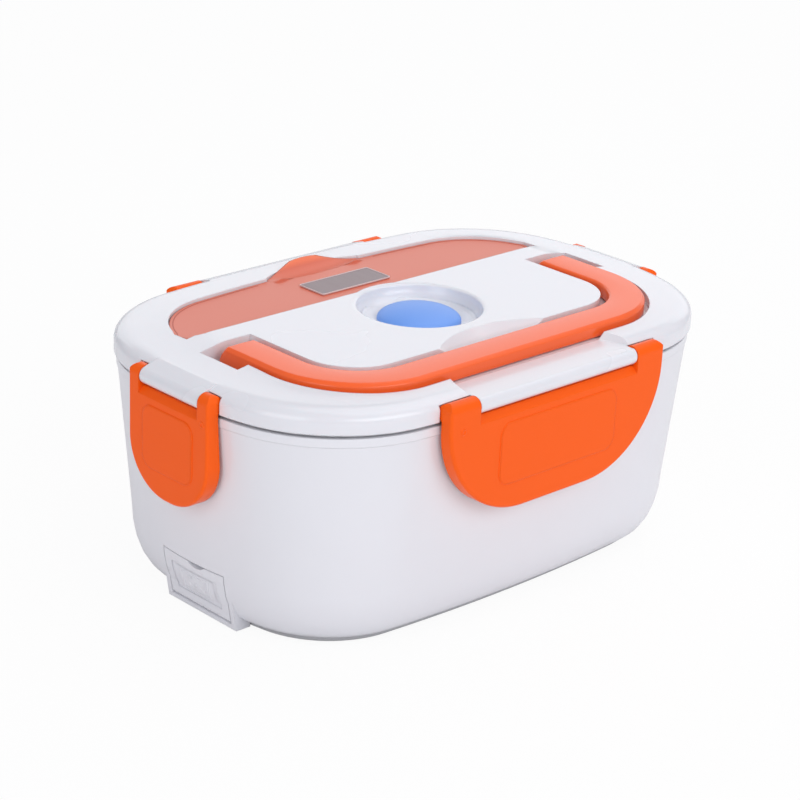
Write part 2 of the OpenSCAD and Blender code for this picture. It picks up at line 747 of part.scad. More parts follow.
module latch(w, r, bar, face, panel) {
    front = face + latch_out;
    pivot = face + hinge_off;
    hook_w = w * 0.4;
    ear_w = w - bar - 0.3;
    color(orange) difference() {
        union() {
            // Rim: the whole plan, cut back to follow the base's wall
            intersection() {
                rotate([90, 0, 180]) translate([0, 0, -1]) linear_extrude(face + 20)
                    latch_plan(w, r, 0, hinge_z);
                rotate([90, 0, 90]) linear_extrude(2 * w + 2, center = true)
                    polygon([[front, 40], [front, 120], [face - 0.7, 120], [face - 0.7, 88.5],
                        [face - body_inset(latch_bottom_z) + 0.7, latch_bottom_z - 2],
                        [face - body_inset(latch_bottom_z) + 0.7, 40]]);
            }
            // Ears, round about the pivot
            for (i = [-1, 1]) translate([i * (w + bar + 0.3) / 2, pivot, hinge_z]) {
                x_rod(ear_r, ear_w, 64);
                translate([-ear_w / 2, 0, -4]) cube([ear_w, ear_r, 4]);
            }
        }
        // Hollow behind the plate
        rotate([90, 0, 180]) translate([0, 0, -2]) linear_extrude(face + latch_out - latch_plate + 2)
            latch_plan(w, r, 2.6, hinge_z - 6.4);
        // Gap for the bar between the ears, and a sloping ledge that runs in under it
        translate([-(bar + 0.3), face - 10, ledge_z]) cube([2 * bar + 0.6, 30, 20]);
        translate([-(bar + 0.3), front, hinge_z - 6.4]) rotate([45, 0, 0]) cube([2 * bar + 0.6, 4, 4]);
        translate([-(bar + 0.3), face - 10, hinge_z - 12]) cube([2 * bar + 0.6, 10.4, 20]);
        // The plate's bare back below the ledge
        translate([-(bar + 0.3), face - 10, hinge_z - 12])
            cube([2 * bar + 0.6, 10 + latch_out - latch_plate, ledge_z - 1.6 - hinge_z + 12]);
        rotate([90, 0, 180]) latch_edge(w, r, front);
        // Round outer corners of the ears
        for (m = [0, 1]) mirror([m, 0, 0]) translate([w - ear_corner + 0.05, face, hinge_z]) rotate([90, 0, 0])
            difference() {
                translate([0, 0, -20]) cube([ear_corner + 1, ear_corner + 2, 40]);
                translate([0, 0, -21]) cylinder(r = ear_corner, h = 42, $fn = 64);
            }
    }
    color(orange) {
        // Raised middle panel
        translate([0, front + panel_rise, (panel_low_z + panel_top_z) / 2]) rotate([90, 0, 0])
            pad(panel, (panel_top_z - panel_low_z) / 2, 5, 0, 1);
        // Pins into the bar's ends
        for (i = [-1, 1]) translate([i * (bar + 0.3 - pin_len / 2 + 0.5), pivot, hinge_z]) x_rod(pin_r, pin_len + 1, 32);
        // Hook that snaps under the catch ridge
        rotate([90, 0, 90]) linear_extrude(2 * hook_w, center = true)
            polygon([[front - latch_plate + 0.2, catch_z + 0.3], [face - body_inset(catch_z) + 1.1, catch_z - 1.5],
                [face - body_inset(catch_z) + 1.1, catch_z - 2.5], [front - latch_plate + 0.2, catch_z - 4.7]]);
    }
}

module latch_front() {
    rotate([0, 0, 180]) latch(wide_latch_w, wide_latch_r, bar_wide, rim_y, panel_wide);
}

module latch_rear() {
    latch(wide_latch_w, wide_latch_r, bar_wide, rim_y, panel_wide);
}

module latch_left() {
    rotate([0, 0, 90]) latch(end_latch_w, end_latch_r, bar_end, rim_x, panel_end);
}

module latch_right() {
    rotate([0, 0, -90]) latch(end_latch_w, end_latch_r, bar_end, rim_x, panel_end);
}

// ---- Carrying handle, folded into its channel ----

// Section of the handle: x runs in from its outer edge
handle_section = concat(
    arc_points([0.9, handle_bottom_z + 0.9], 0.9, 180, 270, 3),
    arc_points([handle_w - 0.9, handle_bottom_z + 0.9], 0.9, 270, 360, 3),
    arc_points([handle_w - 1.6, handle_z - 1.6], 1.6, 0, 90, 5),
    arc_points([1.6, handle_z - 1.6], 1.6, 90, 180, 5));

module carry_handle() {
    bend_x = handle_x - outer_bend;
    bend_y = grip_y + outer_bend;
    color(orange) {
        for (m = [0, 1]) mirror([m, 0, 0]) {
            translate([0, hub_y, 0]) rotate([90, 0, 0]) linear_extrude(hub_y - bend_y)
                polygon([for (p = handle_section) [handle_x - p[0], p[1]]]);
            translate([bend_x, bend_y, 0]) rotate_extrude(angle = 90, start = -90, $fn = 120)
                polygon([for (p = handle_section) [outer_bend - p[0], p[1]]]);
        }
        rotate([90, 0, 90]) linear_extrude(2 * bend_x, center = true)
            polygon([for (p = handle_section) [grip_y + p[0], p[1]]]);
        intersection() {
            for (i = [-1, 1]) translate([i * (handle_x - handle_w / 2), hub_y, hub_z]) x_rod(hub_r, handle_w, 64);
            block(120, 20, 80, handle_z);
        }
        for (i = [-1, 1]) translate([i * (handle_x - handle_w - plateau_gap / 2 - 1), hub_y, hub_z])
            x_rod(hub_pin_r, plateau_gap + 3, 40);
    }
}

// ---- Spoon compartment ----

// Half section of the thumb dish, a long lens turned about its own X axis
module dish_section() {
    deep = 7;
    bow = 145;
    intersection() {
        translate([deep - bow, 0]) circle(bow, $fn = 240);
        translate([0, -34]) square([12, 68]);
    }
}

module spoon_cover() {
    crest_r = 88.9;
    color(salmon) difference() {
        union() {
            translate([0, 0, spoon_top_z - spoon_t]) linear_extrude(spoon_t) polygon(spoon_plan(0));
            // Thumb tab, whose crest bows up out of the cover
            intersection() {
                translate([0, 0, tab_z]) linear_extrude(tab_top_z - tab_z) intersection() {
                    translate([0, tab_y]) circle(tab_r, $fn = 128);
                    translate([-tab_half, 54.4]) square([2 * tab_half, 30]);
                }
                translate([0, 0, tab_top_z - crest_r]) rotate([90, 0, 0])
                    cylinder(r = crest_r, h = 200, center = true, $fn = 240);
            }
            for (i = [-1, 1]) translate([i * 91.5, spoon_hinge_y, spoon_hinge_z]) x_rod(0.9, 9, 32);
        }
        // Dish of the thumb scoop
        translate([0, 58.4, 105.4]) rotate([0, 90, 0]) rotate_extrude($fn = 96) dish_section();
        // Clearance round the funnel's rim
        translate([0, vent_y, 90]) cylinder(r = vent_r + 1.2, h = 20, $fn = 96);
    }
}

module cover_plate() {
    color([0.6, 0.57, 0.57]) translate([0, 38.4, 0]) block(18.3, 7.4, spoon_top_z, spoon_top_z + 0.8);
}

module spoon() {
    bowl_x = -60;
    bowl_y = 39.8;
    color(orange) {
        difference() {
            intersection() {
                translate([bowl_x, bowl_y, spoon_floor_z + 0.3 + 23.2]) sphere(23.2, $fn = 80);
                translate([bowl_x, bowl_y, spoon_floor_z]) cylinder(r = 13, h = 5.6, $fn = 64);
            }
            translate([bowl_x, bowl_y, spoon_floor_z + 1.6 + 23.2]) sphere(23, $fn = 80);
        }
        translate([bowl_x + 12.4, bowl_y - 4, spoon_floor_z + 3.8]) cube([101.2, 8, 1.8]);
        translate([bowl_x + 113.6, bowl_y, spoon_floor_z + 3.8]) cylinder(r = 5.5, h = 1.8, $fn = 48);
    }
}

// ---- Steam vent ----

module vent_plug() {
    seat = plateau_z - 6.4;
    color([0.35, 0.55, 0.95]) translate([0, vent_y, 0]) rotate_extrude($fn = 96)
        polygon(concat([[0, seat + 5.6]],
            [for (i = [1:8]) [dome_r * sin(90 * i / 8), seat + 0.6 + 5 * cos(90 * i / 8)]],
            [[dome_r, seat], [5.6, seat], [5.6, 83.3], [7.6, 83], [7.6, 82.2], [5.4, 80.8], [0, 80.8]]));
}

outer_body();
inner_well();
bottom_cover();
base_screws();
rubber_feet();
heater_plate();
heater_gasket();
ptc_heater();
heater_clamp();
clamp_screws();
thermostat();
thermal_fuse();
inlet_socket();
inlet_pins();
wires();
inlet_door();
steel_tray();
side_box();
lid_shell();
lid_liner();
lid_seal();
latch_front();
latch_rear();
latch_left();
latch_right();
carry_handle();
spoon_cover();
cover_plate();
spoon();
vent_plug();
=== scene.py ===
import math

import bmesh
import bpy
import numpy as np
from mathutils import Matrix


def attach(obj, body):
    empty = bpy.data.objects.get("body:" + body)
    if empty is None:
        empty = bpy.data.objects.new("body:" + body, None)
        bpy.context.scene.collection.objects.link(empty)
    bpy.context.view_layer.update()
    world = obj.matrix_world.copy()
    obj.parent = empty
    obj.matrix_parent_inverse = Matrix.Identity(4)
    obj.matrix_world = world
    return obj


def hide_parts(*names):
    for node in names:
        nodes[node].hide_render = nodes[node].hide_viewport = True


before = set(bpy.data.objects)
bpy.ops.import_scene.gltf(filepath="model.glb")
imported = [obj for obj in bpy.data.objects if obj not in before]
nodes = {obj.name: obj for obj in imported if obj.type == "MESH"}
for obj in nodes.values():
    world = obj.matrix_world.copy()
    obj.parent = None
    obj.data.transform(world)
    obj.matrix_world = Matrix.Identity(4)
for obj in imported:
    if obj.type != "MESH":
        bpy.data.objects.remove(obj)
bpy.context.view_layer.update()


# ---- The camera ----
# It stands in front of the box and to its left, a metre off and a little above the lid.
# Its place and turn were fitted to the photograph's own outlines.

CAMERA_AZIMUTH = math.radians(-43.91)
CAMERA_ELEVATION = math.radians(21.73)
CAMERA_ROLL = math.radians(2.41)
CAMERA_DISTANCE = 1.00006
CAMERA_ASIDE = -0.00021
CAMERA_ABOVE = 0.05713
CAMERA_LENS = 110.63
SENSOR_WIDTH = 36.0

back = np.array([math.sin(CAMERA_AZIMUTH) * math.cos(CAMERA_ELEVATION),
                 -math.cos(CAMERA_AZIMUTH) * math.cos(CAMERA_ELEVATION), math.sin(CAMERA_ELEVATION)])
level = np.array([math.cos(CAMERA_AZIMUTH), math.sin(CAMERA_AZIMUTH), 0.0])
upward = np.cross(back, level)
right = math.cos(CAMERA_ROLL) * level + math.sin(CAMERA_ROLL) * upward
up = math.cos(CAMERA_ROLL) * upward - math.sin(CAMERA_ROLL) * level
stand = CAMERA_ASIDE * right + CAMERA_ABOVE * up + CAMERA_DISTANCE * back
camera_data = bpy.data.cameras.new("camera")
camera_data.lens = CAMERA_LENS
camera_data.sensor_width = SENSOR_WIDTH
camera_data.clip_end = 50.0
camera = bpy.data.objects.new("camera", camera_data)


def stand_at(thing, side, upward, back, place):
    """Puts an object in the scene, its three axes along the given directions and its origin at a place."""
    pose = np.eye(4)
    pose[:3, 0], pose[:3, 1], pose[:3, 2], pose[:3, 3] = side, upward, back, place
    thing.matrix_world = Matrix(pose.tolist())
    bpy.context.scene.collection.objects.link(thing)


stand_at(camera, right, up, back, stand)
bpy.context.scene.camera = camera


# ---- The room: floor, sky and soft boxes ----
# A white sweep without a horizon. Soft boxes stand overhead, at the left, in front and behind.
# The camera sees the floor near white, and the floor still takes the box's shadow.

WHITE = (1.0, 1.0, 1.0, 1.0)
PAPER = (0.92, 0.92, 0.92, 1.0)
SKY, SKY_STRENGTH = (0.93, 0.94, 1.0, 1.0), 0.42
FLOOR_HALF = 8.0
# How much of the floor's white the camera sees as plain white, whatever light falls on it
PLAIN_WHITE_SHARE = 0.93

floor_mesh = bpy.data.meshes.new("floor")
floor_mesh.from_pydata([(-FLOOR_HALF, -FLOOR_HALF, 0), (FLOOR_HALF, -FLOOR_HALF, 0),
                        (FLOOR_HALF, FLOOR_HALF, 0), (-FLOOR_HALF, FLOOR_HALF, 0)], [], [(0, 1, 2, 3)])
floor = bpy.data.objects.new("floor", floor_mesh)
bpy.context.scene.collection.objects.link(floor)


def new_material(name):
    """An empty node material with its output."""
    m = bpy.data.materials.new(name)
    m.use_nodes = True
    tree = m.node_tree
    tree.nodes.clear()
    return m, tree, tree.nodes.new("ShaderNodeOutputMaterial")


def link(tree, *pairs):
    """Links pairs of sockets, each an output and the input that it feeds."""
    for source, target in pairs:
        tree.links.new(source, target)


sweep, tree, output = new_material("white_sweep")
paper = tree.nodes.new("ShaderNodeBsdfDiffuse")
paper.inputs["Color"].default_value = PAPER
glow = tree.nodes.new("ShaderNodeEmission")
glow.inputs["Color"].default_value = WHITE
rays = tree.nodes.new("ShaderNodeLightPath")
share = tree.nodes.new("ShaderNodeMath")
share.operation = "MULTIPLY"
share.inputs[1].default_value = PLAIN_WHITE_SHARE
mix = tree.nodes.new("ShaderNodeMixShader")
link(tree, (rays.outputs["Is Camera Ray"], share.inputs[0]), (share.outputs[0], mix.inputs["Fac"]),
     (paper.outputs[0], mix.inputs[1]), (glow.outputs[0], mix.inputs[2]),
     (mix.outputs[0], output.inputs["Surface"]))
floor_mesh.materials.append(sweep)

world = bpy.data.worlds.new("studio")
bpy.context.scene.world = world
world.use_nodes = True
tree = world.node_tree
tree.nodes.clear()
output = tree.nodes.new("ShaderNodeOutputWorld")
rays = tree.nodes.new("ShaderNodeLightPath")
seen = tree.nodes.new("ShaderNodeBackground")
seen.inputs["Color"].default_value = WHITE
lit = tree.nodes.new("ShaderNodeBackground")
lit.inputs["Color"].default_value = SKY
lit.inputs["Strength"].default_value = SKY_STRENGTH
mix = tree.nodes.new("ShaderNodeMixShader")
link(tree, (rays.outputs["Is Camera Ray"], mix.inputs["Fac"]), (lit.outputs[0], mix.inputs[1]),
     (seen.outputs[0], mix.inputs[2]), (mix.outputs[0], output.inputs["Surface"]))

# Each box faces a point a little above the floor
AIM = np.array([0.0, 0.0, 0.05])
# name, place, size, power in watts
SOFT_BOXES = [
    ("top", (0.35, 0.0, 0.95), (0.9, 0.9), 2.8),
    ("left", (-1.5, -0.3, 0.75), (0.9, 1.2), 6.4),
    ("front", (0.0, -1.5, 0.95), (1.6, 0.9), 12.0),
    ("back", (1.1, 1.2, 0.66), (2.6, 1.0), 7.0),
]
for name, place, size, power in SOFT_BOXES:
    lamp = bpy.data.lights.new("soft_box_" + name, "AREA")
    lamp.shape = "RECTANGLE"
    lamp.size, lamp.size_y = size
    lamp.energy = power
    holder = bpy.data.objects.new("soft_box_" + name, lamp)
    away = (place - AIM) / np.linalg.norm(place - AIM)
    side = np.cross([0.0, 0.0, 1.0], away)
    side = side / np.linalg.norm(side)
    stand_at(holder, side, np.cross(away, side), away, place)
bpy.context.scene.view_settings.view_transform = "Standard"


# ---- The base: outer body and inner well ----
# The outer body is one injection-moulded polypropylene shell with a polished, glossy outside.
# The well is pressed into its rim.

SHELL_WHITE = (0.80, 0.80, 0.845, 1.0)
# The slow drift in colour, in noise cells a metre. The peel's depth and the edges' rounding, in metres.
DRIFT_SCALE, PEEL_DEPTH, SOFT_EDGE = 14.0, 0.0002, 0.0006
COAT_ROUGHNESS, SCATTER = 0.08, (0.004, 0.003, 0.003)


def moulded(name, colour, roughness, speckle=0.02, grain=900.0, bump=0.02, coat=0.0, subsurface=0.0,
            specular=0.5):
    """Moulded plastic: its colour and gloss drift with one slow noise, a fine noise gives a faint
    orange-peel, and the shading rounds the edges."""
    m, tree, output = new_material(name)
    shader = tree.nodes.new("ShaderNodeBsdfPrincipled")
    where = tree.nodes.new("ShaderNodeTexCoord")
    drift = tree.nodes.new("ShaderNodeTexNoise")
    drift.inputs["Scale"].default_value = DRIFT_SCALE
    drift.inputs["Detail"].default_value = 3.0
    tint = tree.nodes.new("ShaderNodeMix")
    tint.data_type = "RGBA"
    tint.inputs["A"].default_value = [c * (1 - speckle) for c in colour[:3]] + [1.0]
    tint.inputs["B"].default_value = [min(1.0, c * (1 + speckle)) for c in colour[:3]] + [1.0]
    peel = tree.nodes.new("ShaderNodeTexNoise")
    peel.inputs["Scale"].default_value = grain
    peel.inputs["Detail"].default_value = 2.0
    gloss = tree.nodes.new("ShaderNodeMapRange")
    gloss.inputs["To Min"].default_value = roughness * 0.85
    gloss.inputs["To Max"].default_value = roughness * 1.2
    relief = tree.nodes.new("ShaderNodeBump")
    relief.inputs["Strength"].default_value = bump
    relief.inputs["Distance"].default_value = PEEL_DEPTH
    edge = tree.nodes.new("ShaderNodeBevel")
    edge.samples = 6
    edge.inputs["Radius"].default_value = SOFT_EDGE
    link(tree, (where.outputs["Object"], drift.inputs["Vector"]),
         (where.outputs["Object"], peel.inputs["Vector"]),
         (drift.outputs["Fac"], tint.inputs["Factor"]),
         (tint.outputs["Result"], shader.inputs["Base Color"]),
         (drift.outputs["Fac"], gloss.inputs["Value"]),
         (gloss.outputs["Result"], shader.inputs["Roughness"]),
         (peel.outputs["Fac"], relief.inputs["Height"]),
         (edge.outputs["Normal"], relief.inputs["Normal"]),
         (relief.outputs["Normal"], shader.inputs["Normal"]),
         (shader.outputs["BSDF"], output.inputs["Surface"]))
    shader.inputs["Specular IOR Level"].default_value = specular
    shader.inputs["Coat Weight"].default_value = coat
    shader.inputs["Coat Roughness"].default_value = COAT_ROUGHNESS
    shader.inputs["Subsurface Weight"].default_value = subsurface
    shader.inputs["Subsurface Radius"].default_value = SCATTER
    return m


# Corners closer than this are one, and edges sharper than this stay sharp
WELD, SHARP = 2e-6, math.radians(32)


def merged(name, body, material):
    """A copy of a CAD node with its doubles merged, so that its shallow facets shade as the curves that
    they stand for."""
    source = nodes[name].data
    corners, loops = np.empty(3 * len(source.vertices)), np.empty(len(source.loops), dtype=np.int32)
    source.vertices.foreach_get("co", corners)
    source.loops.foreach_get("vertex_index", loops)
    mesh = bpy.data.meshes.new(name + "_moulding")
    mesh.from_pydata(corners.reshape(-1, 3).tolist(), [], loops.reshape(-1, 3).tolist())
    work = bmesh.new()
    work.from_mesh(mesh)
    bmesh.ops.remove_doubles(work, verts=work.verts, dist=WELD)
    work.to_mesh(mesh)
    work.free()
    mesh.shade_smooth()
    mesh.set_sharp_from_angle(angle=SHARP)
    mesh.materials.append(material)
    piece = bpy.data.objects.new(name + "_moulding", mesh)
    bpy.context.scene.collection.objects.link(piece)
    weights = piece.modifiers.new("flats_stay_flat", "WEIGHTED_NORMAL")
    weights.weight, weights.keep_sharp = 100, True
    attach(piece, body)
    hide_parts(name)


shell_white = moulded("shell_white", SHELL_WHITE, 0.30, coat=0.3)
inner_white = moulded("inner_white", (0.78, 0.78, 0.79, 1.0), 0.5)
merged("outer_body", "base", shell_white)
merged("inner_well", "base", inner_white)


# ---- The base's underside: cover, screws and feet ----
# A grey satin cover closes the bottom and shows as a thin band round the foot.
# Four screws hold it to the well's posts, and four rubber feet are glued into its pockets.

cover_grey = moulded("cover_grey", (0.45, 0.45, 0.47, 1.0), 0.55)
foot_rubber = moulded("foot_rubber", (0.03, 0.03, 0.03, 1.0), 0.8, grain=2500.0, bump=0.1)
LINE_DEPTH, LINE_SHADE = 0.0001, 0.9


def finish_node(name, material):
    """Puts one material on a CAD node."""
    slots = nodes[name].data.materials
    slots.clear()
    slots.append(material)


def metal(name, colour, roughness, stretch=(1.0, 1.0, 1.0), lines=900.0, bump=0.05):
    """Metal with fine lines: a noise stretched along one axis varies its colour, gloss and relief."""
    m, tree, output = new_material(name)
    shader = tree.nodes.new("ShaderNodeBsdfPrincipled")
    shader.inputs["Metallic"].default_value = 1.0
    where = tree.nodes.new("ShaderNodeTexCoord")
    squeeze = tree.nodes.new("ShaderNodeMapping")
    squeeze.inputs["Scale"].default_value = stretch
    noise = tree.nodes.new("ShaderNodeTexNoise")
    noise.inputs["Scale"].default_value = lines
    noise.inputs["Detail"].default_value = 4.0
    gloss = tree.nodes.new("ShaderNodeMapRange")
    gloss.inputs["To Min"].default_value = roughness * 0.7
    gloss.inputs["To Max"].default_value = roughness * 1.3
    shade = tree.nodes.new("ShaderNodeMix")
    shade.data_type = "RGBA"
    shade.inputs["A"].default_value = [c * LINE_SHADE for c in colour[:3]] + [1.0]
    shade.inputs["B"].default_value = colour
    relief = tree.nodes.new("ShaderNodeBump")
    relief.inputs["Strength"].default_value = bump
    relief.inputs["Distance"].default_value = LINE_DEPTH
    link(tree, (where.outputs["Object"], squeeze.inputs["Vector"]),
         (squeeze.outputs["Vector"], noise.inputs["Vector"]),
         (noise.outputs["Fac"], gloss.inputs["Value"]),
         (gloss.outputs["Result"], shader.inputs["Roughness"]),
         (noise.outputs["Fac"], shade.inputs["Factor"]),
         (shade.outputs["Result"], shader.inputs["Base Color"]),
         (noise.outputs["Fac"], relief.inputs["Height"]),
         (relief.outputs["Normal"], shader.inputs["Normal"]),
         (shader.outputs["BSDF"], output.inputs["Surface"]))
    return m


zinc = metal("zinc", (0.55, 0.55, 0.57, 1.0), 0.35)
finish_node("bottom_cover", cover_grey)
finish_node("base_screws", zinc)


# The most of a side's length that one corner's arc may take
SIDE_SHARE = 0.49


def rounded(corners, closed=False, steps=5):
    """A line through corners (x, y, radius). Each corner becomes an arc tangent to both its sides, whose
    centre lies on their middle line, radius / sin(half the corner's angle) from the corner."""
    at = np.array([c[:2] for c in corners], float)
    count = len(at)
    line = []
    for i, (_, _, radius) in enumerate(corners):
        if radius == 0 or (not closed and i in (0, count - 1)):
            line.append(at[i][None])
            continue
        before, after = at[i - 1] - at[i], at[(i + 1) % count] - at[i]
        room = SIDE_SHARE * min(np.linalg.norm(before), np.linalg.norm(after))
        before, after = before / np.linalg.norm(before), after / np.linalg.norm(after)
        half = math.acos(np.clip(before @ after, -1.0, 1.0)) / 2
        reach = min(radius / math.tan(half), room)
        radius = reach * math.tan(half)
        middle = before + after
        centre = at[i] + middle / np.linalg.norm(middle) * radius / math.sin(half)
        start, end = at[i] + before * reach - centre, at[i] + after * reach - centre
        sweep_angle = math.pi - 2 * half
        t = np.linspace(0, 1, steps + 1)[:, None]
        line.append(centre + (np.sin((1 - t) * sweep_angle) * start + np.sin(t * sweep_angle) * end)
                    / math.sin(sweep_angle))
    if closed:
        line.append(line[0][:1])
    return np.concatenate(line)


def turned(profile, centre=(0.0, 0.0), turns=96):
    """A profile of radius and height turned round the upright axis through the centre."""
    angle = np.linspace(0, 2 * math.pi, turns + 1)
    radius, height = profile[:, :1], profile[:, 1:]
    return np.stack([centre[0] + radius * np.cos(angle), centre[1] + radius * np.sin(angle),
                     height + 0 * angle], axis=-1)


GRID_WELD, GRID_SHARP = 1e-6, math.radians(40)


def surface(name, grids, material, body, stands_for=()):
    """One smooth mesh over grids of points: quads between neighbours, doubles merged, normals outward."""
    points, quads, start = [], [], 0
    for grid in grids:
        rows, columns = grid.shape[:2]
        i, j = np.meshgrid(np.arange(rows - 1), np.arange(columns - 1), indexing="ij")
        corner = start + i * columns + j
        around = [corner, corner + columns, corner + columns + 1, corner + 1]
        quads.append(np.stack(around, axis=-1).reshape(-1, 4))
        points.append(grid.reshape(-1, 3))
        start += rows * columns
    mesh = bpy.data.meshes.new(name)
    mesh.from_pydata(np.concatenate(points).tolist(), [], np.concatenate(quads).tolist())
    work = bmesh.new()
    work.from_mesh(mesh)
    bmesh.ops.remove_doubles(work, verts=work.verts, dist=GRID_WELD)
    bmesh.ops.recalc_face_normals(work, faces=work.faces)
    work.to_mesh(mesh)
    work.free()
    mesh.shade_smooth()
    mesh.set_sharp_from_angle(angle=GRID_SHARP)
    mesh.materials.append(material)
    piece = bpy.data.objects.new(name, mesh)
    bpy.context.scene.collection.objects.link(piece)
    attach(piece, body)
    if stands_for:
        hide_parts(*stands_for)


MM = 0.001
FOOT_X, FOOT_Y = 80, 30
# A foot's section: a flat pad with a ring groove under it and a round edge
foot_profile = MM * rounded([(0, 0, 0), (2.6, 0, 0.2), (2.9, 0.35, 0.2), (3.7, 0.35, 0.2), (4, 0, 0.2),
                             (6, 0, 0.6), (6, 1.6, 0.2), (0, 1.6, 0)])
feet = [turned(foot_profile, (MM * sx * FOOT_X, MM * sy * FOOT_Y), 64) for sx in (-1, 1) for sy in (-1, 1)]
surface("foot_pads", feet, foot_rubber, "base", ["rubber_feet"])


# ---- The heater under the well ----
# A cast aluminium plate warms the tray. A ceramic element is clamped below it, and a
# thermostat and a thermal fuse guard it.

aluminium = metal("aluminium", (0.80, 0.80, 0.81, 1.0), 0.4, lines=300.0)
red_seal = moulded("red_seal", (0.55, 0.06, 0.03, 1.0), 0.6, grain=2000.0)
element = moulded("element", (0.70, 0.58, 0.32, 1.0), 0.7, speckle=0.08, grain=1500.0)
black_plastic = moulded("black_plastic", (0.02, 0.02, 0.022, 1.0), 0.4)
fuse_white = moulded("fuse_white", (0.75, 0.75, 0.70, 1.0), 0.5)
wire_red = moulded("wire_red", (0.40, 0.04, 0.02, 1.0), 0.5)
for name, material in (("heater_plate", aluminium), ("heater_gasket", red_seal), ("ptc_heater", element),
                       ("heater_clamp", zinc), ("clamp_screws", zinc), ("thermostat", black_plastic),
                       ("thermal_fuse", fuse_white), ("wires", wire_red)):
    finish_node(name, material)


# ---- The power inlet ----
# A black two-pin socket sits in a block on the end of the base. A white door, hinged at its foot and
# moulded with a low relief, closes the block.

brass = metal("brass", (0.80, 0.56, 0.24, 1.0), 0.25)
door_white = moulded("door_white", SHELL_WHITE, 0.34)
finish_node("inlet_socket", black_plastic)
finish_node("inlet_pins", brass)
finish_node("inlet_door", door_white)

# The outline's arcs, as the base and lid follow them: half sizes, corner radius, half angles of the sides
RIM_X, RIM_Y, CORNER_R = 116.0, 78.0, 55.0
LONG_A, SHORT_A = math.radians(4.8), math.radians(10.9)
det = math.sin(LONG_A) * math.sin(SHORT_A) - (1 - math.cos(LONG_A)) * (1 - math.cos(SHORT_A))
LONG_LESS = ((RIM_X - CORNER_R) * math.sin(SHORT_A) - (RIM_Y - CORNER_R) * (1 - math.cos(SHORT_A))) / det
SHORT_LESS = ((RIM_Y - CORNER_R) * math.sin(LONG_A) - (RIM_X - CORNER_R) * (1 - math.cos(LONG_A))) / det
LONG_R, SHORT_R = CORNER_R + LONG_LESS, CORNER_R + SHORT_LESS
# The end wall's round foot, a quarter of an ellipse: inset of its centre, half sizes, height of its centre
FOOT_INSET, FOOT_DEEP, FOOT_TALL, FOOT_TOP = 17, 11.2, 23.6, 27


def end_face(y, z):
    """X of the base's end wall where it rounds to the foot: an ellipse in height, an arc across."""
    inset = FOOT_INSET - FOOT_DEEP * np.sqrt(1 - ((FOOT_TOP - z) / FOOT_TALL) ** 2)
    return -(RIM_X - SHORT_R) - np.sqrt((SHORT_R - inset) ** 2 - y ** 2)


def ridge(distance, width, height):
    """Height of a ridge at a distance from its middle line: half an ellipse across."""
    return height * np.sqrt(np.clip(1 - (distance / width) ** 2, 0, 1))


# The relief moulded on the door's sunk panel: a raised frame, and inside it a hooked rib for the thumb.
# The hook is a ring open at its upper left, and the stem a short sloping bar.
PANEL_Y, PANEL_Z, PANEL_MIDDLE, PANEL_SUNK = (-12.4, 9.2), (8.4, 18.6), (-1.6, 13.5), 0.47
FRAME_HALF_Y, FRAME_HALF_Z, FRAME_RIDGE = 7.6, 3.9, (0.55, 0.45)
HOOK_Y, HOOK_Z, HOOK_R, HOOK_OPEN_Y, HOOK_OPEN_Z = 1.8, 0.4, 2.1, 1.2, 0.2
STEM_Y, STEM_HALF, STEM_SLOPE, RIB_RIDGE, NO_RIDGE = -2.6, 2.2, 0.25, (0.6, 0.5), 9.0
y, z = np.meshgrid(np.linspace(*PANEL_Y, 109), np.linspace(*PANEL_Z, 53), indexing="ij")
across, height = y - PANEL_MIDDLE[0], z - PANEL_MIDDLE[1]
frame_gap = np.maximum(np.abs(across) - FRAME_HALF_Y, np.abs(height) - FRAME_HALF_Z)
hook = np.hypot(across - HOOK_Y, height - HOOK_Z) - HOOK_R
hook = np.where((across < HOOK_OPEN_Y) & (height > HOOK_OPEN_Z), NO_RIDGE, hook)
stem = np.hypot(np.maximum(np.abs(across - STEM_Y) - STEM_HALF, 0), height - STEM_SLOPE * across)
ribs = np.maximum(ridge(hook, *RIB_RIDGE), ridge(stem, *RIB_RIDGE))
relief = np.maximum(ridge(frame_gap, *FRAME_RIDGE), ribs)
panel = np.stack([end_face(y, z) + PANEL_SUNK - relief, y, z], axis=-1)
surface("door_relief", [MM * panel], door_white, "inlet_door")


# ---- The food containers ----
# The tray is drawn from thin stainless steel, and its rim lies between base and lid.
# The smaller side box is moulded.

steel = metal("steel", (0.72, 0.72, 0.73, 1.0), 0.28, stretch=(1.0, 1.0, 12.0), lines=120.0)
box_white = moulded("box_white", (0.82, 0.82, 0.80, 1.0), 0.4)
merged("side_box", "side_box", box_white)


def round_the_rim(profile):
    """A wall profile (inset, height) carried round the outline: four quarters, each of three tangent arcs,
    every point of the profile at the arc's radius less its inset."""
    quarter, end, side = math.pi / 2, SHORT_A, math.pi / 2 - LONG_A
    # centre, radius, first and last angle and number of steps of the end's, corner's and side's arc
    arcs = [(RIM_X - SHORT_R, 0, SHORT_R, 0, end, 6),
            (LONG_LESS * math.sin(LONG_A), SHORT_LESS * math.sin(SHORT_A), CORNER_R, end, side, 24),
            (0, RIM_Y - LONG_R, LONG_R, side, quarter, 9)]
    x, y, radius, angle = np.concatenate([
        np.stack(np.broadcast_arrays(cx, cy, r, np.linspace(first, last, steps, endpoint=last == quarter)))
        for cx, cy, r, first, last, steps in arcs], axis=1)
    reach = radius - profile[:, :1]
    there = np.stack([x + reach * np.cos(angle), y + reach * np.sin(angle), profile[:, 1:] + 0 * reach], -1)
    back = there[:, -2::-1]
    return np.concatenate([there, back * [-1, 1, 1], there[:, 1:] * [-1, -1, 1], back * [1, -1, 1]], axis=1)


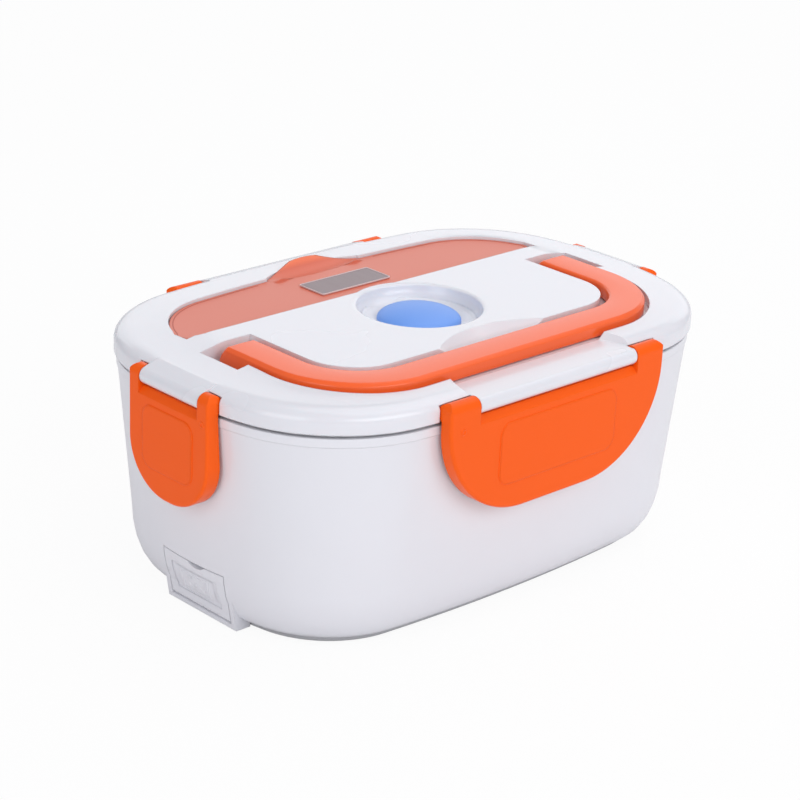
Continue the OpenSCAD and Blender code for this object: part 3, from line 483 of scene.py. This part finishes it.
# The tray's section: a flange with its edge rolled under, the drawn wall, a round bottom edge and a
# floor with one shallow step. The outside comes first, then the inside back up to the flange.
tray_wall = rounded([(28, 32.2, 0), (20, 32.2, 9), (12.9, 44, 12), (8, 89.3, 0.9), (7.4, 90.1, 0.3),
                     (0.9, 90.1, 0.15), (0.6, 90.5, 0.2), (0.9, 90.9, 0.2), (8.3, 90.9, 1.2),
                     (13.7, 44.5, 11), (20.6, 33, 8), (27, 33, 0.5), (28, 33.5, 0.5), (30, 33.5, 0)])
# The two flat sides of the floor shrink from the wall's last rings to the middle
flats = [round_the_rim(np.array([end])) * np.array([[[k, k, 1]] for k in np.linspace(1, 0, 5)])
         for end in ((30.0, 33.5), (28.0, 32.2))]
surface("tray_pressing", [MM * grid for grid in [round_the_rim(tray_wall)] + flats], steel, "tray",
        ["steel_tray"])


# ---- The lid ----
# A glossy moulded shell over a white liner, with a silicone seal that presses on the tray's rim.

lid_white = moulded("lid_white", SHELL_WHITE, 0.26, coat=0.4, subsurface=0.3)
seal_rubber = moulded("seal_rubber", (0.68, 0.70, 0.74, 1.0), 0.6)
merged("lid_shell", "lid", lid_white)
merged("lid_liner", "lid", inner_white)
finish_node("lid_seal", seal_rubber)


# ---- The four latches ----
# Orange polypropylene, swinging on pins in the lid's hinge bars. A bead runs round each raised panel,
# and the mould's gate leaves a small round mark.

ORANGE = (1.0, 0.12, 0.006, 1.0)
latch_orange = moulded("latch_orange", ORANGE, 0.30, specular=0.15)
for name in ("latch_front", "latch_rear", "latch_left", "latch_right"):
    finish_node(name, latch_orange)


# Radians that a bead's section runs on past its half circle, into the face
BEAD_SKIRT = 0.2


def bead(path, across, outward, radius):
    """A half-round bead along a closed path: each point of the path, plus the radius times (cosine of an
    angle across + its sine outward), the angle running from one side to the other."""
    angle = np.linspace(-BEAD_SKIRT, math.pi + BEAD_SKIRT, 9)[:, None]
    return path[:, None] + radius * (np.cos(angle) * across[:, None] + np.sin(angle) * outward)


def on_latch(points, turn, face):
    """Points (along, height, out) on a latch's face, turned to its side of the box."""
    along, height, out = points[..., 0], points[..., 1], points[..., 2] + face
    c, s = math.cos(turn), math.sin(turn)
    return np.stack([c * along + s * out, s * along - c * out, height], axis=-1)


LATCH_OUT = 4.4
PANEL_LOW, PANEL_HIGH, PANEL_RISE, PANEL_CORNER_R, BEAD_R = 61.0, 85.5, 0.35, 5, 0.34
# name, turn about Z, distance of the rim, half width of the raised panel, place of the gate mark
LATCHES = [
    ("latch_front", 0.0, RIM_Y, 31.0, -50.5),
    ("latch_right", math.pi / 2, RIM_X, 14.5, 20.0),
    ("latch_rear", math.pi, RIM_Y, 31.0, 50.5),
    ("latch_left", -math.pi / 2, RIM_X, 14.5, 20.0),
]
GATE_Z = 87.6
# Section of the mark left by the moulding gate: a low ring round a dimple
gate_profile = rounded([(0, -0.15, 0), (0.35, -0.15, 0.2), (0.7, 0.28, 0.2), (1.15, 0.28, 0.2),
                        (1.5, -0.1, 0)])
for name, turn, rim, half, gate in LATCHES:
    plan = rounded([(x, z, PANEL_CORNER_R) for x, z in ((half, PANEL_LOW), (half, PANEL_HIGH),
                                                        (-half, PANEL_HIGH), (-half, PANEL_LOW))],
                   closed=True, steps=12)
    path = np.concatenate([plan, np.full((len(plan), 1), PANEL_RISE - BEAD_R)], axis=1)
    step = np.gradient(path, axis=0)
    step[0] = step[-1] = path[1] - path[-2]
    across = np.stack([step[:, 1], -step[:, 0], 0 * step[:, 0]], axis=1)
    across /= np.linalg.norm(across, axis=1)[:, None]
    ring = bead(path, across, np.array([0.0, 0.0, 1.0]), BEAD_R)
    mark = turned(gate_profile, (gate, GATE_Z), 32)
    surface(name + "_relief", [MM * on_latch(points, turn, rim + LATCH_OUT) for points in (ring, mark)],
            latch_orange, name)


# ---- The carrying handle ----
# One orange moulding that folds into the lid's channel. Its two arms end in hubs that turn on pins in
# the lid.

handle_orange = moulded("handle_orange", (0.98, 0.13, 0.02, 1.0), 0.30, coat=0.15)

HANDLE_X, GRIP_Y, HANDLE_W, HANDLE_TOP, HANDLE_LOW, BEND_R = 91.0, -62.9, 14.5, 103.7, 98.2, 39.0
HUB_Y, HUB_Z, HUB_R, HUB_PIN_R, HUB_PIN_LONG, HUB_PIN_X = -1.0, 97.8, 7.2, 2.5, 5.8, 77.0
bend_x, bend_y = HANDLE_X - BEND_R, GRIP_Y + BEND_R
# Half of the outer edge's way: round the hub, along the arm, round the bend and half the grip
round_hub = np.linspace(math.pi / 2, -math.pi / 2, 33)
arm_y = np.concatenate([HUB_Y + HUB_R * np.sin(round_hub),
                        np.linspace(HUB_Y - HUB_R, bend_y, 8)[1:-1]])
bend = np.linspace(0, -math.pi / 2, 41)
grip_x = np.linspace(bend_x, 0, 12)[1:]
edge = np.concatenate([np.stack([0 * arm_y + HANDLE_X, arm_y], 1),
                       np.stack([bend_x + BEND_R * np.cos(bend), bend_y + BEND_R * np.sin(bend)], 1),
                       np.stack([grip_x, 0 * grip_x + GRIP_Y], 1)])
inward = np.concatenate([np.tile([-1.0, 0.0], (len(arm_y), 1)),
                         -np.stack([np.cos(bend), np.sin(bend)], 1),
                         np.tile([0.0, 1.0], (len(grip_x), 1))])
edge = np.concatenate([edge, edge[-2::-1] * [-1, 1]])
inward = np.concatenate([inward, inward[-2::-1] * [-1, 1]])
# The hub's disc reaches below the arm and, past its middle, rounds off the arm's end
rise = np.sqrt(np.clip(HUB_R ** 2 - (edge[:, 1] - HUB_Y) ** 2, 0, None))
low = np.where(edge[:, 1] > HUB_Y, HUB_Z - rise, np.minimum(HANDLE_LOW, HUB_Z - rise))
top = np.where(edge[:, 1] > HUB_Y, np.minimum(HANDLE_TOP, HUB_Z + rise), HANDLE_TOP)
# Section: a crowned top with a narrow bevel along the outer edge, straight sides and a round underside
thick = HANDLE_TOP - HANDLE_LOW
section = rounded([(0, 0, 0.9), (HANDLE_W, 0, 0.9), (HANDLE_W, thick - 0.2, 1.3), (HANDLE_W / 2, thick, 60),
                   (1.3, thick - 0.15, 0.6), (0, thick - 1.4, 0.6)], closed=True)
upper = section[:, 1] > thick / 2
offset = section[:, 1] - np.where(upper, thick, 0)
squeeze = np.clip((top - low) / thick, 0, 1)[:, None]
height = np.where(upper, top[:, None], low[:, None]) + offset * squeeze
grip = np.stack([edge[:, :1] + inward[:, :1] * section[:, 0], edge[:, 1:] + inward[:, 1:] * section[:, 0],
                 height], axis=-1)
pin_profile = rounded([(0, 0, 0), (HUB_PIN_R, 0, 0), (HUB_PIN_R, HUB_PIN_LONG, 0.4), (0, HUB_PIN_LONG, 0)])
pin = turned(pin_profile, turns=40)
pins = [np.stack([side * (HUB_PIN_X - pin[..., 2]), HUB_Y + pin[..., 0], HUB_Z + pin[..., 1]], axis=-1)
        for side in (-1, 1)]
surface("handle_moulding", [MM * grid for grid in [grip] + pins], handle_orange, "carry_handle",
        ["carry_handle"])


# ---- The spoon compartment ----
# A translucent salmon cover with a thumb tab lies over a spoon in its compartment. A blank grey plate is
# fixed on the cover.

cover_salmon = moulded("cover_salmon", (0.74, 0.175, 0.105, 1.0), 0.36)
# Painted light: from the tab's foot, where it stands clear of the white lid, to its crest, the colour turns
# to a clearer, lighter orange that stands for light passing through it
TAB_PAINTED_LIGHT, TAB_FOOT, TAB_CREST = (1.0, 0.27, 0.14, 1.0), 0.1008, 0.1028
tree = cover_salmon.node_tree
body_colour = tree.nodes["Principled BSDF"].inputs["Base Color"]
where = tree.nodes.new("ShaderNodeTexCoord")
parts = tree.nodes.new("ShaderNodeSeparateXYZ")
share = tree.nodes.new("ShaderNodeMapRange")
share.inputs["From Min"].default_value, share.inputs["From Max"].default_value = TAB_FOOT, TAB_CREST
# This mix paints that light into the cover's base colour, by height
clear = tree.nodes.new("ShaderNodeMix")
clear.data_type = "RGBA"
clear.inputs["B"].default_value = TAB_PAINTED_LIGHT
link(tree, (body_colour.links[0].from_socket, clear.inputs["A"]),
     (where.outputs["Object"], parts.inputs["Vector"]), (parts.outputs["Z"], share.inputs["Value"]),
     (share.outputs["Result"], clear.inputs["Factor"]), (clear.outputs["Result"], body_colour))

plate_grey = metal("plate_grey", (0.34, 0.28, 0.29, 1.0), 0.45, stretch=(60.0, 1.0, 1.0), lines=60.0)
spoon_orange = moulded("spoon_orange", ORANGE, 0.35)
merged("spoon_cover", "spoon_cover", cover_salmon)

# A rib under the cover's edge shows through it as a deeper line. Its depth of colour here is painted shade.
# Here it is two thin dark strips, one at each end, a hair above the cover. They follow the cover's plan,
# drawn in by a little.
SPOON_FRONT, SPOON_INSET, SPOON_CORNER_X, SPOON_CORNER_R, SPOON_TOP = 20.9, 20.0, 84.5, 9.0, 100.4
RIB_OUTER, RIB_INNER, RIB_UNDER, RIB_OVER = 1.15, 1.65, -0.05, 0.04
# The strips stop short of the thumb dish behind and of the vent's funnel in front
DISH_HALF, FUNNEL_HALF = 27.0, 12.0


def cover_end(inset):
    """One end of the cover's plan drawn in by an inset: front edge, round corner, then the outline's arcs."""
    whole = round_the_rim(np.array([[SPOON_INSET + inset, SPOON_TOP]]))[0, :-1]
    corner_y, corner_r = SPOON_FRONT + SPOON_CORNER_R, SPOON_CORNER_R - inset
    rear = whole[(whole[:, 1] > corner_y + 1) & (whole[:, 0] > DISH_HALF)]
    rear = rear[np.argsort(-rear[:, 0])]
    turn = np.linspace(-math.pi / 2, -0.03, 12)
    corner = np.stack([SPOON_CORNER_X + corner_r * np.cos(turn), corner_y + corner_r * np.sin(turn),
                       0 * turn + SPOON_TOP], axis=1)
    return np.concatenate([[[FUNNEL_HALF, SPOON_FRONT + inset, SPOON_TOP]], corner, rear])


# The strips' dark red is painted shade
rib_painted_shade = moulded("rib_painted_shade", (0.55, 0.075, 0.03, 1.0), 0.4)
rib_section = [(RIB_OUTER, RIB_UNDER), (RIB_OUTER, RIB_OVER), (RIB_INNER, RIB_OVER), (RIB_INNER, RIB_UNDER)]
strip = np.stack([cover_end(inset) + [0, 0, level] for inset, level in rib_section])
surface("cover_rib_shade", [MM * strip, MM * strip[:, ::-1] * [-1, 1, 1]], rib_painted_shade, "spoon_cover")


# Points in a ring of slab: four corners of three steps each, closed
SLAB_STEPS, SLAB_RING = 3, 17


def slab(half_x, half_y, radius, profile):
    """A profile (inset, height) carried round a rectangle with rounded corners. An inset as large as half
    the width closes it to a point."""
    rings = []
    for inset, level in profile:
        if inset >= half_y:
            rings.append(np.zeros((SLAB_RING, 3)) + [0, 0, level])
            continue
        x, y, r = half_x - inset, half_y - inset, max(radius - inset, 0.05)
        ring = rounded([(x, y, r), (-x, y, r), (-x, -y, r), (x, -y, r)], closed=True, steps=SLAB_STEPS)
        rings.append(np.concatenate([ring, np.full((len(ring), 1), level)], axis=1))
    return np.stack(rings)


# The plate is pressed with a narrow raised rim. The rim has a light, non-metal colour, a painted highlight
# along its edge
PLATE_Y, PLATE_HALF_X, PLATE_HALF_Y, PLATE_CORNER_R, PLATE_FACE, TO_MIDDLE = 38.4, 18.3, 7.4, 1.0, 0.6, 8
rim_painted_highlight = moulded("rim_painted_highlight", (0.70, 0.55, 0.55, 1.0), 0.35)
rim_profile = rounded([(TO_MIDDLE, 0, 0), (0.3, 0, 0.15), (0, 0.3, 0.15), (0, 0.8, 0.25), (0.35, 0.8, 0.1),
                       (0.5, PLATE_FACE, 0)], steps=3)
face_profile = [(0.5, PLATE_FACE), (4.0, PLATE_FACE), (TO_MIDDLE, PLATE_FACE)]
for name, profile, material in (("plate_rim", rim_profile, rim_painted_highlight),
                                ("plate_pressing", face_profile, plate_grey)):
    plate = slab(PLATE_HALF_X, PLATE_HALF_Y, PLATE_CORNER_R, profile) + [0, PLATE_Y, SPOON_TOP]
    surface(name, [MM * plate], material, "spoon_cover", ["cover_plate"])

# The spoon: its half width is the cube root of the bowl's and the handle's cubes added, so that a round
# bowl runs smoothly into a straight handle. The bowl sinks where it is wide, and the edges are round.
BOWL_X, SPOON_Y, BOWL_R, BOWL_DEEP, SPOON_Z, SPOON_THICK = -60.0, 39.8, 13.0, 3.6, 95.5, 1.3
HANDLE_END, HANDLE_HALF, HANDLE_WIDER, HANDLE_ROUND = 59.0, 4.2, 1.3, 5.5
WIDER_FROM = 20
run = (1 - np.cos(np.linspace(0, math.pi, 121))) / 2
x = BOWL_X - BOWL_R + run * (HANDLE_END - BOWL_X + BOWL_R)
bowl_half = np.sqrt(np.clip(BOWL_R ** 2 - (x - BOWL_X) ** 2, 0, None))
tail = np.clip((HANDLE_END - x) / HANDLE_ROUND, 0, 1)
wider = HANDLE_WIDER * np.clip((x - WIDER_FROM) / (HANDLE_END - WIDER_FROM), 0, 1)
stem_half = np.where(x < BOWL_X, 0, (HANDLE_HALF + wider) * np.sqrt(1 - (1 - tail) ** 2))
half_width = (bowl_half ** 3 + stem_half ** 3) ** (1 / 3)
angle = np.linspace(0, 2 * math.pi, 49)
y = half_width[:, None] * np.cos(angle)
hollow = np.clip(1 - ((x[:, None] - BOWL_X) ** 2 + y ** 2) / BOWL_R ** 2, 0, 1)
round_edge = np.sign(np.sin(angle)) * np.abs(np.sin(angle)) ** 0.6
z = SPOON_Z - BOWL_DEEP * hollow ** 0.8 + SPOON_THICK / 2 * round_edge
spoon = np.stack([x[:, None] + 0 * y, SPOON_Y + y, z], axis=-1)
surface("spoon_moulding", [MM * spoon], spoon_orange, "spoon", ["spoon"])


# ---- The steam vent ----
# A blue silicone plug stands in the lid's funnel. Its domed head covers the hole, and a lip below
# holds it.

vent_blue = moulded("vent_blue", (0.17, 0.37, 0.90, 1.0), 0.45, subsurface=0.1)

VENT_Y, PLUG_SEAT, DOME_R, DOME_RISE, DOME_EDGE = -5.0, 96.8, 16.6, 5, 0.6
dome = np.linspace(0, math.pi / 2, 25)
plug_profile = np.concatenate([
    np.stack([DOME_R * np.sin(dome), PLUG_SEAT + DOME_EDGE + DOME_RISE * np.cos(dome)], axis=1),
    rounded([(DOME_R, PLUG_SEAT + DOME_EDGE, 0), (DOME_R, PLUG_SEAT, 0.3), (5.6, PLUG_SEAT, 0.6),
             (5.6, 83.3, 0.3), (7.6, 83.0, 0.3), (7.6, 82.2, 0.3), (5.4, 80.8, 0.4), (0, 80.8, 0)])])
surface("plug_moulding", [MM * turned(plug_profile, (0, VENT_Y))], vent_blue, "vent_plug",
        ["vent_plug"])
